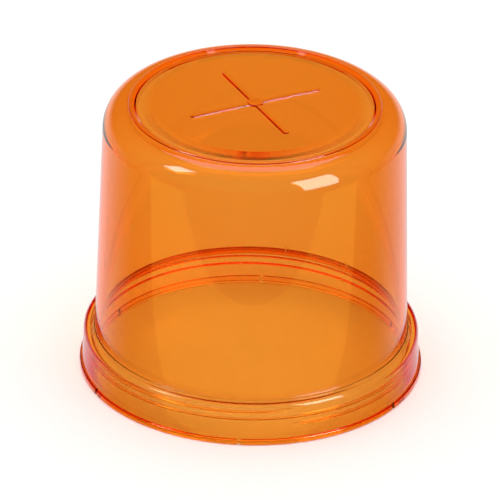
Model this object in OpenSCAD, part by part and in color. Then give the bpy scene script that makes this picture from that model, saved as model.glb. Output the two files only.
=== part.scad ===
// Amber dome lens of a barricade warning light.
// One clear moulding: a drafted barrel with a rounded shoulder and a flat, ringed top,
// a wider skirt with an internal thread, and a seating lip that the lens stands on.
// Millimetres, +Z up, origin at the centre of the lip's seating face.

/* [Rim and skirt] */
// Outside diameter of the seating lip
rim_d = 150; // [146:0.5:156]
// Height of the seating lip
rim_h = 2.6; // [1.5:0.1:3.5]
// How far the lip stands proud of the skirt
rim_proud = 1; // [0.5:0.1:1.2]
// Height of the step between the skirt and the barrel
ledge_z = 18.9; // [17:0.1:24]
// Radius on the outer corner of the step
ledge_round = 2.6; // [1:0.1:3.5]
// Thickness of the step, down to its seat for the seal
seat_t = 1.8; // [1.6:0.1:2.6]
// Draft of the skirt, as the radius lost over its height
skirt_draft = 0.7; // [0:0.1:1]

/* [Barrel] */
// Outside diameter of the barrel just above the step
barrel_d = 137; // [134:0.5:138]
// Outside diameter of the barrel just below the shoulder
barrel_top_d = 132; // [124:0.5:134]
// Height of the shoulder's top, where the crown ring stands
shoulder_z = 126.7; // [90:0.1:160]
// Radius of the shoulder
shoulder_round = 11.5; // [6:0.5:12]
// Thickness of the moulding
wall_t = 2.6; // [2:0.1:2.8]

/* [Top] */
// Outer radius of the raised ring round the top panel
ring_outer_r = 55.1; // [54.6:0.1:56]
// Height of the ring above the shoulder
ring_h = 0.8; // [0.7:0.05:1.2]
// Slope of the ring's inner side
ring_slope = 28; // [24:1:50]
// Height of the flat top panel
panel_z = 127.5; // [127.2:0.1:127.8]
// Radius at which the flat panel ends and falls to the groove
panel_r = 44.3; // [40:0.1:47]
// Slope of the panel's edge down to the groove
panel_fall = 8.8; // [6:0.1:10]
// Height of the flat underside of the panel
under_z = 124.6; // [124.2:0.1:124.8]
// Radius of the flat underside
under_r = 49.2; // [46:0.1:50]
// Slope of the underside's edge
under_fall = 13; // [10:1:20]
// Thickness over the shoulder's foot
crown_t = 3.1; // [2.9:0.1:4]
// Radius inside the shoulder
inner_round = 8; // [5:0.1:9]

/* [Cross] */
// Length of each bar of the cross, from tip to tip
cross_l = 62; // [40:1:80]
// Width of the bars
cross_w = 2.8; // [1.5:0.1:5]
// Height of the bars above the top panel
cross_h = 0.6; // [0.3:0.1:1]
// Diameter of the gate boss in the middle of the cross
boss_d = 7; // [4:0.5:12]
// Height of the boss above the bars
boss_h = 0.2; // [0.1:0.1:0.6]

/* [Thread] */
// Diameter of the bore that the thread stands in
bore_d = 142.6; // [141:0.1:143]
// Height of the thread above the bore's wall
thread_h = 1; // [0.5:0.1:1.2]
// Rise of the thread in one turn
thread_pitch = 3.6; // [3:0.1:3.8]
// Width of the thread at its crest
thread_w = 0.9; // [0.6:0.1:1.2]
// Height of the thread's first end above the seating face
thread_z = 8.1; // [7.5:0.1:8.2]
// Turn of the thread's first end about the lens
thread_start = -102; // [-180:1:180]

/* [Lip notches] */
// Number of notches round the seating lip
notch_n = 6; // [3:1:12]
// Width of each notch
notch_w = 1.6; // [1:0.1:4]

/* [Hidden] */
$fn = 96;

rim_r = rim_d / 2;
rim_round = rim_proud * 0.8;
skirt_r = rim_r - rim_proud;
skirt_top_r = skirt_r - skirt_draft;
barrel_r = barrel_d / 2;
barrel_top_r = barrel_top_d / 2;
bore_r = bore_d / 2;
crest_r = bore_r - thread_h;
seat_z = ledge_z - seat_t;

// Rounds of the smaller corners.
fillet = 0.7;
inner_fillet = 1.5;
edge_round = 0.5;
seat_round = 1.15;
panel_round = 1.4;
groove_round = 0.4;
under_round = 3;

// The shoulder ends a few degrees short of a quarter turn, at the ring and at the drafted wall.
shoulder_cx = barrel_top_r - shoulder_round;
shoulder_cz = shoulder_z - shoulder_round;
shoulder_top_a = 86;
draft_a = 1.5;

// The ring's crest is a round between its inner slope and its steeper outer side.
ring_round = 1.2;
ring_cx = ring_outer_r - ring_round;
ring_cz = shoulder_z + ring_h - ring_round;
ring_outer_a = 25;

// The inside of the shoulder.
crown_z = shoulder_z - crown_t;
inner_r = barrel_top_r - wall_t;

// Points on an arc about (cx, cz), in n steps from angle a to angle b.
function arc(cx, cz, r, a, b, n) =
    [for (i = [0 : n]) let (t = a + (b - a) * i / n) [cx + r * cos(t), cz + r * sin(t)]];

function unit(v) = v / norm(v);
function half_turn(a) = a > 180 ? a - 360 : a < -180 ? a + 360 : a;

// A corner at v, on the way from a to b, rounded to radius r in n steps.
function corner(a, v, b, r, n) =
    let (u = unit(a - v), w = unit(b - v), half = acos(u * w) / 2, c = v + unit(u + w) * r / sin(half),
         p = v + u * r / tan(half) - c, q = v + w * r / tan(half) - c, start = atan2(p[1], p[0]))
    arc(c[0], c[1], r, start, start + half_turn(atan2(q[1], q[0]) - start), n);

// The panel's edge and the ring's inner slope meet in the groove.
ring_points = arc(ring_cx, ring_cz, ring_round, 90 + ring_slope, ring_outer_a, 8);
groove_r = (panel_z + panel_r * tan(panel_fall) - ring_points[0][1] + ring_points[0][0] * tan(ring_slope))
    / (tan(panel_fall) + tan(ring_slope));
panel_edge = [panel_r, panel_z];
groove = [groove_r, panel_z - (groove_r - panel_r) * tan(panel_fall)];

outside_points = concat(
    [[0, panel_z]],
    corner([0, panel_z], panel_edge, groove, panel_round, 2),
    corner(panel_edge, groove, ring_points[0], groove_round, 3),
    ring_points,
    arc(shoulder_cx, shoulder_cz, shoulder_round, shoulder_top_a, draft_a, 16),
    corner([barrel_top_r, shoulder_cz], [barrel_r, ledge_z], [rim_r, ledge_z], fillet, 4),
    arc(skirt_top_r - ledge_round, ledge_z - ledge_round, ledge_round, 90, 2, 8),
    [[skirt_r, rim_h]],
    arc(rim_r - rim_round, rim_h - rim_round, rim_round, 90, 0, 4),
    arc(rim_r - edge_round, edge_round, edge_round, 0, -90, 3));

step_r = under_r + (under_z - crown_z) / tan(under_fall);

inside_points = concat(
    [[bore_r, 0]],
    arc(bore_r - seat_round, seat_z - seat_round, seat_round, 0, 90, 4),
    corner([bore_r, seat_z], [barrel_r - wall_t, seat_z], [inner_r, crown_z], inner_fillet, 4),
    arc(inner_r - inner_round, crown_z - inner_round, inner_round, draft_a, 90, 12),
    corner([inner_r, crown_z], [step_r, crown_z], [under_r, under_z], under_round, 2),
    corner([step_r, crown_z], [under_r, under_z], [0, under_z], under_round, 2),
    [[0, under_z]]);

// The thread is a ring with the spaces beside it cut away, from inside its crest to behind the
// bore's wall. Where a side of such a space is a thread's flank, it closes by flank at the root.
steps_per_turn = 60;
turns = 2;
clear = 1;
root_r = bore_r + 0.7;
cut_in_r = crest_r - clear;
cut_out_r = bore_r + 0.4;
flank = 0.25;
half_w = thread_w / 2;
low_z = thread_z - 2 * clear;
high_z = seat_z + clear;

// Height of the thread's middle at angle a.
function helix_z(a) = thread_z + thread_pitch * a / 360;

// Section of a space at angle a, from low to high at the crest; sides says which of the two are flanks.
function section(a, low, high, sides) = let (c = cos(a + thread_start), s = sin(a + thread_start)) [
    [cut_in_r * c, cut_in_r * s, low],
    [cut_out_r * c, cut_out_r * s, low + sides[0] * flank],
    [cut_out_r * c, cut_out_r * s, high - sides[1] * flank],
    [cut_in_r * c, cut_in_r * s, high]];

// A closed strip through sections of four points, with flat ends.
module strip(sections) {
    n = len(sections);
    walls = [for (i = [0 : n - 2]) for (k = [0 : 3]) let (j = (k + 1) % 4)
        [4 * i + k, 4 * i + j, 4 * (i + 1) + j, 4 * (i + 1) + k]];
    polyhedron(
        points = [for (r = sections) for (p = r) p],
        faces = concat([[3, 2, 1, 0]], walls, [[for (k = [0 : 3]) 4 * (n - 1) + k]]));
}

// The spaces below, between and above the turns, each in half turns that overlap a little.
module thread_gaps() {
    lap = 0.5;
    for (start = [0, 180]) {
        angles = [for (i = [0 : steps_per_turn / 2]) start - lap + (180 + 2 * lap) * i * 2 / steps_per_turn];
        strip([for (a = angles) section(a, low_z, helix_z(a) - half_w, [0, 1])]);
        for (n = [0 : turns - 2])
            strip([for (a = angles)
                section(a, helix_z(a + 360 * n) + half_w, helix_z(a + 360 * (n + 1)) - half_w, [1, 1])]);
        strip([for (a = angles) section(a, helix_z(a + 360 * (turns - 1)) + half_w, high_z, [1, 0])]);
    }
}

// The turns of thread on the bore's wall, crest on a true cylinder.
module thread() {
    difference() {
        translate([0, 0, thread_z - clear]) cylinder(r = root_r, h = high_z - thread_z);
        translate([0, 0, low_z]) cylinder(r = crest_r, h = high_z - low_z + clear);
        thread_gaps();
    }
}

// Two low crossed bars with round ends on the top panel, and the boss over the gate.
module cross() {
    sunk = wall_t / 2;
    translate([0, 0, panel_z - sunk]) {
        linear_extrude(height = sunk + cross_h) for (turn = [0, 90]) rotate(turn) {
            square([cross_l - cross_w, cross_w], center = true);
            for (side = [-1, 1]) translate([side * (cross_l - cross_w) / 2, 0]) circle(d = cross_w);
        }
        cylinder(d = boss_d, h = sunk + cross_h + boss_h);
    }
}

// Small gaps cut through the seating lip, from just inside the skirt's outer face.
module lip_notches() {
    notch_in = 0.3;
    for (k = [0 : notch_n - 1])
        rotate(360 * k / notch_n) translate([skirt_r - notch_in, -notch_w / 2, -clear])
            cube([rim_proud + clear, notch_w, rim_h + clear + notch_in]);
}

module dome_lens() {
    color([0.93, 0.47, 0.08, 0.8]) difference() {
        union() {
            rotate_extrude() polygon(concat(outside_points, inside_points));
            thread();
            cross();
        }
        lip_notches();
    }
}

dome_lens();
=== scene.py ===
import math

import bmesh
import bpy
from mathutils import Matrix, Vector

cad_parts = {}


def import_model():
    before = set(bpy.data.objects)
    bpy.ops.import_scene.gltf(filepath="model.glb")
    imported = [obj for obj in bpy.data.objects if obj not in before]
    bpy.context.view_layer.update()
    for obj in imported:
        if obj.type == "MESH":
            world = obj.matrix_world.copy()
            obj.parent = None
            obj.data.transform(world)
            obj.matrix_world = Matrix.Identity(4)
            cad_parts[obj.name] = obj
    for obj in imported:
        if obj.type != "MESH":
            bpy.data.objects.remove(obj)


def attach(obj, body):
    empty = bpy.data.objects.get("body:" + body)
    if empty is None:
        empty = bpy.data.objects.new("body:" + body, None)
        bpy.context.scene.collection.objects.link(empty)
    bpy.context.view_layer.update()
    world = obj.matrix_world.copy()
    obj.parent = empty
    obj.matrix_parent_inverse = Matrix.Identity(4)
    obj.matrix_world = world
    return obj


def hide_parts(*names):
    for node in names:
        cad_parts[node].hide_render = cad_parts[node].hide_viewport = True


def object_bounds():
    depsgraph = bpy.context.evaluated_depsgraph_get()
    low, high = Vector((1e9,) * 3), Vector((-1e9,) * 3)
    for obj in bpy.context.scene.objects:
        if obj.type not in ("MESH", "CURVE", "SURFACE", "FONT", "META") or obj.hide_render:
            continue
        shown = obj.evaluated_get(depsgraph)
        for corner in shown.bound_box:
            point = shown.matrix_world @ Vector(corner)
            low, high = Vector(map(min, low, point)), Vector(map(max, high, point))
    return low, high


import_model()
cad_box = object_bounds()

MM = 0.001

# Sizes of the moulding in millimetres and degrees. Those that are in the part's own source too are the same.
# Seating lip and skirt
RIM_R = (cad_box[1][0] - cad_box[0][0]) / 2 / MM
RIM_H = 2.6
RIM_PROUD = 1.0
LIP_ROUND = 0.8 * RIM_PROUD
EDGE_ROUND = 0.5
SKIRT_R = RIM_R - RIM_PROUD
SKIRT_DRAFT = 0.7
SKIRT_TOP_R = SKIRT_R - SKIRT_DRAFT
SKIRT_LEAN = 2.0
BORE_R = 71.3

# Step between the skirt and the barrel
LEDGE_Z = 18.9
LEDGE_ROUND = 2.6
SEAT_T = 1.8
SEAT_Z = LEDGE_Z - SEAT_T
SEAT_ROUND = 1.15
FILLET = 0.7
INNER_FILLET = 1.5

# Barrel and shoulder
BARREL_R = 68.5
BARREL_TOP_R = 66.0
WALL_T = 2.6
WALL_LEAN = 1.5
SHOULDER_Z = 126.7
SHOULDER_ROUND = 11.5
SHOULDER_CX = BARREL_TOP_R - SHOULDER_ROUND
SHOULDER_CZ = SHOULDER_Z - SHOULDER_ROUND
SHOULDER_TOP = 86.0
INNER_ROUND = 8.0

# Ring, groove and panel on the top
RING_OUTER_R = 55.1
RING_H = 0.8
RING_ROUND = 1.2
RING_SLOPE = 28.0
RING_FOOT = 25.0
GROOVE_ROUND = 0.4
PANEL_R = 44.3
PANEL_Z = 127.5
PANEL_FALL = 8.8
PANEL_ROUND = 1.4

# Underside of the top
CROWN_T = 3.1
UNDER_Z = 124.6
UNDER_R = 49.2
UNDER_FALL = 13.0
UNDER_ROUND = 3.0

# Cross and gate boss
CROSS_L = 62.0
CROSS_W = 2.8
CROSS_H = 0.6
BOSS_R = 3.5
BOSS_H = 0.2

# Thread
THREAD_TURNS = 2
THREAD_PITCH = 3.6
THREAD_START = -102.0
THREAD_Z = 8.1
THREAD_H = 1.0
THREAD_W = 0.9

# Notches in the lip
NOTCHES = 6
NOTCH_W = 1.6
NOTCH_OVER = 0.3

# Softer edges and ends of the thread, the cross and the boss, which the solid leaves sharp
THREAD_EDGE = 0.15
THREAD_SPREAD = 0.35
THREAD_ROOT = 0.3
THREAD_TAPER = 8
THREAD_END = 0.15
CROSS_TIP = 0.12
BOSS_ROUND = 0.3

# Fineness of the mesh: steps round the axis and along the thread, and how far tools overlap
AROUND = 288
BOSS_AROUND = 96
THREAD_STEP = 2.5
OVERLAP = 1.0
SHARP_ANGLE = 35

# Clear amber plastic: its refraction, its tint at each face and in its depth, and how worn its faces are
PLASTIC_IOR = 1.585
PLASTIC_FACE_TINT = (0.905, 0.915, 1, 1)
PLASTIC_DEPTH_TINT = (0.994, 0.69, 0.045, 1)
PLASTIC_DENSITY = 700  # per metre
SCUFFS = 0.16
SCUFF_DEPTH = 0.02
RIPPLE = 0.4
BUMP_STRENGTH = 0.2
BUMP_HEIGHT = 0.2

# Camera, in millimetres and degrees
AZIMUTH = -26.6
ELEVATION = 28.65
ROLL = 1.09
CAMERA_AWAY = 3750
CAMERA_LENS = 619.5
AIM_Z = 63.75
AIM_LEFT = 1.07
AIM_DOWN = 7.58
FRONT = Vector((math.sin(math.radians(AZIMUTH)), -math.cos(math.radians(AZIMUTH)), 0))
SIDE = Vector((-FRONT.y, FRONT.x, 0))

# Floor, in millimetres: painted shade keeps it darker under the lens and paler outside the rim, where a
# faint glow of painted light starts too
FLOOR_HALF = 6000
FLOOR_DROP = 0.2
UNDER_LENS_SHADE_R = (71, 75)
PAINTED_SHADE_TONES = (0.66, 0.94)
PAINTED_GLOW_R = (74.5, 75.5)
PAINTED_GLOW = 0.1

# Light: its even level, and where polished faces mirror it, by how far back and how high a ray goes
WORLD_LEVEL = 1.1
BACK_LEVEL = 0.9
BACK_FROM, BACK_TO = 0.1, 0.9
LOW_FROM, LOW_TO = 0.2, -0.1
# Softboxes: name, then azimuth, elevation, width and height in degrees as seen from the lens, then radiance
LIGHTS_Z = 60
LIGHTS_AWAY = 4000
SOFTBOXES = (
    ("left_box", -74, 48, 12, 20, 8),
    ("right_box", 50, 24, 28, 42, 6.5),
    ("ceiling_box", 180, 65, 34, 27, 1.8),
)
# Card on the table in front, glowing amber only in reflections as a painted reflection of amber light on the
# table, in millimetres, and the bounces that clear plastic needs
CARD_NEAR, CARD_FAR, CARD_HALF = 76.5, 199, 700
REFLECTED_AMBER_GLOW = (1, 0.62, 0.06, 1)
BOUNCES = 40


def arc(cx, cz, r, a, b, n):
    """Points on an arc about (cx, cz), in n steps from angle a to angle b in degrees."""
    turns = [math.radians(a + (b - a) * i / n) for i in range(n + 1)]
    return [(cx + r * math.cos(t), cz + r * math.sin(t)) for t in turns]


def corner(a, v, b, r, n):
    """A rounded corner at v, on the way from a to b, as points on an arc of radius r."""
    a, v, b = Vector(a), Vector(v), Vector(b)
    u, w = (a - v).normalized(), (b - v).normalized()
    half = u.angle(w) / 2
    centre = v + (u + w).normalized() * (r / math.sin(half))
    start = v + u * (r / math.tan(half)) - centre
    end = v + w * (r / math.tan(half)) - centre
    first = math.atan2(start.y, start.x)
    turn = (math.atan2(end.y, end.x) - first + math.pi) % (2 * math.pi) - math.pi
    angles = [first + turn * i / n for i in range(n + 1)]
    return [(centre.x + r * math.cos(t), centre.y + r * math.sin(t)) for t in angles]


def held(profile, near=0.04, long=0.9):
    """Adds a point close to both ends of each long straight run, so that its shading stays flat."""
    done = [profile[0]]
    for p, q in zip(profile, profile[1:]):
        p, q = Vector(p), Vector(q)
        run = (q - p).length
        if run > long:
            done += [tuple(p.lerp(q, near / run)), tuple(p.lerp(q, 1 - near / run))]
        done.append(tuple(q))
    return done


def outside_profile():
    """The half outline of the outside, from the top of the axis down to the seating face."""
    ring_cx = RING_OUTER_R - RING_ROUND
    ring_cz = SHOULDER_Z + RING_H - RING_ROUND
    fall, rise = math.tan(math.radians(PANEL_FALL)), math.tan(math.radians(RING_SLOPE))
    bead = arc(ring_cx, ring_cz, RING_ROUND, 90 + RING_SLOPE, RING_FOOT, 16)
    groove_r = (PANEL_Z + PANEL_R * fall - bead[0][1] + bead[0][0] * rise) / (fall + rise)
    groove = (groove_r, PANEL_Z - (groove_r - PANEL_R) * fall)
    edge = (PANEL_R, PANEL_Z)
    ledge = (BARREL_R, LEDGE_Z)
    return (
        [(0, PANEL_Z)]
        + corner((0, PANEL_Z), edge, groove, PANEL_ROUND, 4)
        + corner(edge, groove, bead[0], GROOVE_ROUND, 6)
        + bead
        + arc(SHOULDER_CX, SHOULDER_CZ, SHOULDER_ROUND, SHOULDER_TOP, WALL_LEAN, 48)
        + corner((BARREL_TOP_R, SHOULDER_CZ), ledge, (RIM_R, LEDGE_Z), FILLET, 12)
        + arc(SKIRT_TOP_R - LEDGE_ROUND, LEDGE_Z - LEDGE_ROUND, LEDGE_ROUND, 90, SKIRT_LEAN, 16)
        + [(SKIRT_R, RIM_H)]
        + arc(RIM_R - LIP_ROUND, RIM_H - LIP_ROUND, LIP_ROUND, 90, 0, 8)
        + arc(RIM_R - EDGE_ROUND, EDGE_ROUND, EDGE_ROUND, 0, -90, 6)
    )


def inside_profile():
    """The half outline of the inside, from the seating face up to the top of the axis."""
    crown_z = SHOULDER_Z - CROWN_T
    wall_r = BARREL_TOP_R - WALL_T
    seat = (BARREL_R - WALL_T, SEAT_Z)
    slope_foot = (UNDER_R + (UNDER_Z - crown_z) / math.tan(math.radians(UNDER_FALL)), crown_z)
    slope_head = (UNDER_R, UNDER_Z)
    return (
        [(BORE_R, 0)]
        + arc(BORE_R - SEAT_ROUND, SEAT_Z - SEAT_ROUND, SEAT_ROUND, 0, 90, 8)
        + corner((BORE_R, SEAT_Z), seat, (wall_r, crown_z), INNER_FILLET, 12)
        + arc(wall_r - INNER_ROUND, crown_z - INNER_ROUND, INNER_ROUND, WALL_LEAN, 90, 40)
        + corner((wall_r, crown_z), slope_foot, slope_head, UNDER_ROUND, 6)
        + corner(slope_foot, slope_head, (0, UNDER_Z), UNDER_ROUND, 6)
        + [(0, UNDER_Z)]
    )


def mesh_object(name, points, faces):
    """A mesh object from points in millimetres."""
    mesh = bpy.data.meshes.new(name)
    mesh.from_pydata([Vector(p) * MM for p in points], [], faces)
    mesh.update()
    obj = bpy.data.objects.new(name, mesh)
    bpy.context.collection.objects.link(obj)
    return obj


def revolve(name, profile, around=AROUND):
    """Turns a closed half outline that starts and ends on the axis into a closed solid."""
    ring = profile[1:-1]
    points = [(0, 0, profile[0][1])]
    for r, z in ring:
        for k in range(around):
            a = 2 * math.pi * k / around
            points.append((r * math.cos(a), r * math.sin(a), z))
    points.append((0, 0, profile[-1][1]))
    last = len(points) - 1
    faces = []
    for k in range(around):
        j = (k + 1) % around
        faces.append((0, 1 + k, 1 + j))
        for i in range(len(ring) - 1):
            a, b = 1 + i * around, 1 + (i + 1) * around
            faces.append((a + k, b + k, b + j, a + j))
        a = 1 + (len(ring) - 1) * around
        faces.append((a + k, last, a + j))
    return mesh_object(name, points, faces)


def sweep(name, rings):
    """A closed strip through rings of points, with flat ends."""
    n = len(rings[0])
    points = [p for ring in rings for p in ring]
    faces = [tuple(range(n - 1, -1, -1))]
    for i in range(len(rings) - 1):
        for k in range(n):
            j = (k + 1) % n
            faces.append((i * n + k, i * n + j, (i + 1) * n + j, (i + 1) * n + k))
    faces.append(tuple(range((len(rings) - 1) * n, len(rings) * n)))
    return mesh_object(name, points, faces)


def outward(obj):
    """Turns all faces of a closed solid outward."""
    bm = bmesh.new()
    bm.from_mesh(obj.data)
    bmesh.ops.recalc_face_normals(bm, faces=bm.faces)
    bm.to_mesh(obj.data)
    bm.free()
    return obj


def join(body, tool, operation):
    """Adds a tool solid to the body, or cuts it away, and drops the tool."""
    outward(tool)
    mod = body.modifiers.new("join", "BOOLEAN")
    mod.object = tool
    mod.operation = operation
    mod.solver = "EXACT"
    done = bpy.data.meshes.new_from_object(body.evaluated_get(bpy.context.evaluated_depsgraph_get()))
    body.modifiers.clear()
    body.data = done
    bpy.data.objects.remove(tool)


def thread_ridge():
    """The thread on the bore, with soft edges, tapered off over a few degrees at each end."""
    rings = []
    whole = 360 * THREAD_TURNS
    root = BORE_R + THREAD_ROOT
    for i in range(int(whole / THREAD_STEP) + 1):
        a = i * THREAD_STEP
        grow = min(1, THREAD_END + (1 - THREAD_END) * min(a, whole - a) / THREAD_TAPER)
        z = THREAD_Z + THREAD_PITCH * a / 360
        crest = BORE_R - THREAD_H * grow
        low, high = z - THREAD_W / 2, z + THREAD_W / 2
        section = [
            (root, low - THREAD_SPREAD),
            (crest + THREAD_EDGE, low),
            (crest, low + THREAD_EDGE),
            (crest, high - THREAD_EDGE),
            (crest + THREAD_EDGE, high),
            (root, high + THREAD_SPREAD),
        ]
        t = math.radians(a + THREAD_START)
        rings.append([(r * math.cos(t), r * math.sin(t), h) for r, h in section])
    return sweep("thread_ridge", rings)


def cross_bar(name, turn):
    """One low flat bar on the panel, with soft edges and round ends."""
    half = CROSS_L / 2 - CROSS_W / 2
    ends = 8
    angles = [math.pi / 2 * i / ends for i in range(ends)]
    stations = [(-half - CROSS_W / 2 * math.cos(t), math.sin(t)) for t in angles]
    stations += [(-half, 1.0), (half, 1.0)]
    stations += [(-x, w) for x, w in reversed(stations[:ends])]
    flank = [(-0.5, -0.8), (-0.5, 0.0), (-0.4, 0.8), (-0.34, 1.0)]  # shares of the bar's width and height
    section = flank + [(-y, h) for y, h in reversed(flank)]
    c, s = math.cos(math.radians(turn)), math.sin(math.radians(turn))
    rings = []
    for x, w in stations:
        ring = []
        for y, h in section:
            y *= CROSS_W * max(w, CROSS_TIP)
            ring.append((x * c - y * s, x * s + y * c, PANEL_Z + h * CROSS_H))
        rings.append(ring)
    return sweep(name, rings)


def gate_boss():
    """The small round boss left over the injection gate."""
    top, foot = PANEL_Z + CROSS_H + BOSS_H, PANEL_Z - OVERLAP
    edge = arc(BOSS_R - BOSS_ROUND, top - BOSS_ROUND, BOSS_ROUND, 90, 0, 5)
    return revolve("gate_boss", [(0, top)] + edge + [(BOSS_R, foot), (0, foot)], BOSS_AROUND)


def box_solid(name, low, high, turn):
    """A box between two corners, turned about the axis by an angle in degrees."""
    c, s = math.cos(math.radians(turn)), math.sin(math.radians(turn))
    corners = [(x, y, z) for x in (low[0], high[0]) for y in (low[1], high[1]) for z in (low[2], high[2])]
    points = [(x * c - y * s, x * s + y * c, z) for x, y, z in corners]
    faces = [(0, 1, 3, 2), (4, 6, 7, 5), (0, 4, 5, 1), (2, 3, 7, 6), (0, 2, 6, 4), (1, 5, 7, 3)]
    return mesh_object(name, points, faces)


def lens():
    """The whole moulding as one closed mesh."""
    body = outward(revolve("amber_lens", held(outside_profile() + inside_profile())))
    join(body, thread_ridge(), "UNION")
    for turn in (0, 90):
        join(body, cross_bar("cross_bar", turn), "UNION")
    join(body, gate_boss(), "UNION")
    for k in range(NOTCHES):
        low = (SKIRT_R - NOTCH_OVER, -NOTCH_W / 2, -OVERLAP)
        high = (RIM_R + OVERLAP, NOTCH_W / 2, RIM_H + NOTCH_OVER)
        join(body, box_solid("notch", low, high, 360 * k / NOTCHES), "DIFFERENCE")
    body.data.polygons.foreach_set("use_smooth", [True] * len(body.data.polygons))
    body.data.set_sharp_from_angle(angle=math.radians(SHARP_ANGLE))
    return body


def noise(tree, place, scale, detail, stretch=(1, 1, 1)):
    """Noise in the object's own space, finer along an axis where its stretch is larger."""
    squash = tree.nodes.new("ShaderNodeMapping")
    squash.inputs["Scale"].default_value = stretch
    tree.links.new(place, squash.inputs["Vector"])
    made = tree.nodes.new("ShaderNodeTexNoise")
    made.inputs["Scale"].default_value = scale
    made.inputs["Detail"].default_value = detail
    tree.links.new(squash.outputs["Vector"], made.inputs["Vector"])
    return made.outputs["Fac"]


def ranged(tree, value, low, high, to_low=0.0, to_high=1.0, smooth=False):
    """Maps a value from one range onto another, held at both ends."""
    made = tree.nodes.new("ShaderNodeMapRange")
    if smooth:
        made.interpolation_type = "SMOOTHSTEP"
    for name, number in (("From Min", low), ("From Max", high), ("To Min", to_low), ("To Max", to_high)):
        made.inputs[name].default_value = number
    tree.links.new(value, made.inputs["Value"])
    return made.outputs["Result"]


def calculated(tree, operation, a, b, clamp=False):
    """A sum on two values, each a number or another node's output."""
    made = tree.nodes.new("ShaderNodeMath")
    made.operation = operation
    made.use_clamp = clamp
    for socket, value in zip(made.inputs, (a, b)):
        if isinstance(value, (int, float)):
            socket.default_value = value
        else:
            tree.links.new(value, socket)
    return made.outputs[0]


def moulded_surface():
    """Shared detail of a polished moulding: a faint ripple and patches of fine scuffs."""
    group = bpy.data.node_groups.new("moulded_surface", "ShaderNodeTree")
    for name, usual in (("Scuffs", SCUFFS), ("Ripple", 1.0)):
        group.interface.new_socket(name, in_out="INPUT", socket_type="NodeSocketFloat").default_value = usual
    for name in ("Roughness", "Height"):
        group.interface.new_socket(name, in_out="OUTPUT", socket_type="NodeSocketFloat")
    amount = group.nodes.new("NodeGroupInput").outputs
    out = group.nodes.new("NodeGroupOutput").inputs
    place = group.nodes.new("ShaderNodeTexCoord").outputs["Object"]
    scratches = noise(group, place, scale=900, detail=2, stretch=(1, 1, 0.04))
    patches = noise(group, place, scale=22, detail=2)
    waves = noise(group, place, scale=16, detail=0, stretch=(1, 1, 0.35))
    scratched = ranged(group, scratches, low=0.66, high=0.72)
    handled = ranged(group, patches, low=0.52, high=0.64)
    worn = calculated(group, "MULTIPLY", scratched, handled)
    group.links.new(calculated(group, "MULTIPLY", worn, amount["Scuffs"]), out["Roughness"])
    ripple = calculated(group, "MULTIPLY", waves, amount["Ripple"])
    sunk = calculated(group, "MULTIPLY", worn, -SCUFF_DEPTH)
    group.links.new(calculated(group, "ADD", ripple, sunk), out["Height"])
    return group


def new_material(name):
    """A new material and its shader."""
    mat = bpy.data.materials.new(name)
    mat.use_nodes = True
    return mat, mat.node_tree.nodes["Principled BSDF"]


def amber_plastic():
    """Clear amber polycarbonate: polished, with most of its colour in its thickness."""
    mat, shader = new_material("amber_clear_plastic")
    tree = mat.node_tree
    shader.inputs["Base Color"].default_value = PLASTIC_FACE_TINT
    shader.inputs["Transmission Weight"].default_value = 1.0
    shader.inputs["IOR"].default_value = PLASTIC_IOR
    detail = tree.nodes.new("ShaderNodeGroup")
    detail.node_tree = moulded_surface()
    detail.inputs["Scuffs"].default_value = SCUFFS
    detail.inputs["Ripple"].default_value = RIPPLE
    tree.links.new(detail.outputs["Roughness"], shader.inputs["Roughness"])
    bump = tree.nodes.new("ShaderNodeBump")
    bump.inputs["Strength"].default_value = BUMP_STRENGTH
    bump.inputs["Distance"].default_value = BUMP_HEIGHT * MM
    tree.links.new(detail.outputs["Height"], bump.inputs["Height"])
    tree.links.new(bump.outputs["Normal"], shader.inputs["Normal"])
    depth = tree.nodes.new("ShaderNodeVolumeAbsorption")
    depth.inputs["Color"].default_value = PLASTIC_DEPTH_TINT
    depth.inputs["Density"].default_value = PLASTIC_DENSITY
    tree.links.new(depth.outputs["Volume"], tree.nodes["Material Output"].inputs["Volume"])
    return mat


def camera():
    """A long lens from the front, a little above, rolled by about one degree."""
    elevation, roll = math.radians(ELEVATION), math.radians(ROLL)
    back = FRONT * math.cos(elevation) + Vector((0, 0, math.sin(elevation)))
    up = back.cross(SIDE)
    middle = Vector((0, 0, AIM_Z * MM))
    place = middle + back * CAMERA_AWAY * MM
    aim = middle - SIDE * AIM_LEFT * MM - up * AIM_DOWN * MM
    back = (place - aim).normalized()
    right = up.cross(back).normalized()
    up = back.cross(right)
    x = right * math.cos(roll) + up * math.sin(roll)
    y = up * math.cos(roll) - right * math.sin(roll)
    data = bpy.data.cameras.new("camera")
    data.lens = CAMERA_LENS
    obj = bpy.data.objects.new("camera", data)
    obj.matrix_world = Matrix.Translation(place) @ Matrix((x, y, back)).transposed().to_4x4()
    bpy.context.collection.objects.link(obj)
    bpy.context.scene.camera = obj


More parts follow.
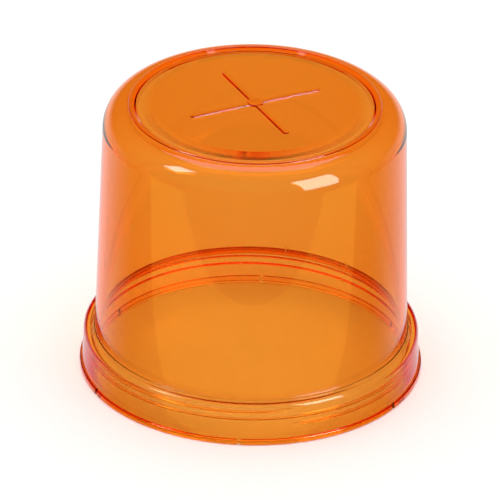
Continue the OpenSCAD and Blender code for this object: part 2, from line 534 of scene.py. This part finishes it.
def floor():
    """A plain pale floor with painted shade a little darker under the lens and a faint painted glow outside
    the rim, that polished faces don't mirror.
    """
    corners = [(x * FLOOR_HALF, y * FLOOR_HALF, 0) for x, y in ((-1, -1), (1, -1), (1, 1), (-1, 1))]
    obj = mesh_object("floor", corners, [(0, 1, 2, 3)])
    obj.location.z = -FLOOR_DROP * MM
    obj.visible_glossy = False
    mat, shader = new_material("studio_floor")
    tree = mat.node_tree
    place = tree.nodes.new("ShaderNodeNewGeometry").outputs["Position"]
    away = tree.nodes.new("ShaderNodeVectorMath")
    away.operation = "LENGTH"
    tree.links.new(place, away.inputs[0])
    # painted shade: the floor is darker under the lens, standing in for the light that the dome holds back
    painted_shade = ranged(tree, away.outputs["Value"], *(r * MM for r in UNDER_LENS_SHADE_R), *PAINTED_SHADE_TONES)
    # painted light: the floor glows faintly from just outside the rim outward, and not under the lens
    painted_glow = ranged(tree, away.outputs["Value"], *(r * MM for r in PAINTED_GLOW_R), to_high=PAINTED_GLOW)
    tree.links.new(painted_shade, shader.inputs["Base Color"])
    tree.links.new(painted_glow, shader.inputs["Emission Strength"])
    shader.inputs["Emission Color"].default_value = (1, 1, 1, 1)
    shader.inputs["Roughness"].default_value = 0.9
    shader.inputs["Specular IOR Level"].default_value = 0.0
    obj.data.materials.append(mat)


def world():
    """Even white light, which polished faces mirror only low down and at the back."""
    sky = bpy.data.worlds.new("world")
    sky.use_nodes = True
    tree = sky.node_tree
    background = tree.nodes["Background"]
    background.inputs["Color"].default_value = (1, 1, 1, 1)
    toward = tree.nodes.new("ShaderNodeTexCoord").outputs["Generated"]
    along = tree.nodes.new("ShaderNodeVectorMath")
    along.operation = "DOT_PRODUCT"
    along.inputs[1].default_value = -FRONT
    tree.links.new(toward, along.inputs[0])
    height = tree.nodes.new("ShaderNodeSeparateXYZ")
    tree.links.new(toward, height.inputs[0])
    at_back = ranged(tree, along.outputs["Value"], BACK_FROM, BACK_TO, to_high=BACK_LEVEL, smooth=True)
    low_down = ranged(tree, height.outputs["Z"], LOW_FROM, LOW_TO, smooth=True)
    ray = tree.nodes.new("ShaderNodeLightPath").outputs
    mirrored = calculated(tree, "SUBTRACT", ray["Is Glossy Ray"], ray["Is Transmission Ray"], clamp=True)
    level = tree.nodes.new("ShaderNodeMix")
    level.inputs["A"].default_value = WORLD_LEVEL
    tree.links.new(mirrored, level.inputs["Factor"])
    tree.links.new(calculated(tree, "MULTIPLY", at_back, low_down), level.inputs["B"])
    tree.links.new(level.outputs["Result"], background.inputs["Strength"])
    bpy.context.scene.world = sky


def softbox(name, azimuth, elevation, wide, tall, radiance):
    """A lamp panel that faces the lens, turned from the camera's side to its right by the azimuth."""
    t, e = math.radians(azimuth), math.radians(elevation)
    flat = FRONT * math.cos(t) + SIDE * math.sin(t)
    distance = LIGHTS_AWAY * MM
    away = (flat * math.cos(e) + Vector((0, 0, math.sin(e)))) * distance
    data = bpy.data.lights.new(name, "AREA")
    data.shape = "RECTANGLE"
    data.size = 2 * distance * math.tan(math.radians(wide / 2))
    data.size_y = 2 * distance * math.tan(math.radians(tall / 2))
    data.energy = radiance * math.pi * data.size * data.size_y
    obj = bpy.data.objects.new(name, data)
    obj.location = Vector((0, 0, LIGHTS_Z * MM)) + away
    obj.rotation_euler = away.to_track_quat("Z", "Y").to_euler()
    obj.visible_diffuse = False
    bpy.context.collection.objects.link(obj)


def amber_reflection_card():
    """A low card on the table in front, which only the polished wall mirrors: a painted reflection of amber
    light on the table in front of the lens.
    """
    corners = []
    for away, along in ((CARD_NEAR, -1), (CARD_FAR, -1), (CARD_FAR, 1), (CARD_NEAR, 1)):
        corners.append(FRONT * away + SIDE * along * CARD_HALF)
    obj = mesh_object("amber_reflection_card", corners, [(0, 1, 2, 3)])
    mat, shader = new_material("amber_reflection_card")
    shader.inputs["Base Color"].default_value = (0, 0, 0, 1)
    shader.inputs["Specular IOR Level"].default_value = 0.0
    # painted reflection: the card's amber glow stands in for amber light on the table, seen only in the
    # polished wall
    shader.inputs["Emission Color"].default_value = REFLECTED_AMBER_GLOW
    shader.inputs["Emission Strength"].default_value = 1.0
    obj.data.materials.append(mat)
    for ray in ("camera", "diffuse", "transmission", "shadow", "volume_scatter"):
        setattr(obj, "visible_" + ray, False)


camera()
floor()
amber_reflection_card()
world()
for box in SOFTBOXES:
    softbox(*box)
cycles = bpy.context.scene.cycles
cycles.blur_glossy = 0
cycles.max_bounces = cycles.transmission_bounces = cycles.glossy_bounces = BOUNCES
body = lens()
body.data.materials.clear()
body.data.materials.append(amber_plastic())
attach(body, "root")
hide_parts("dome_lens")
bpy.context.scene.view_settings.view_transform = "Standard"
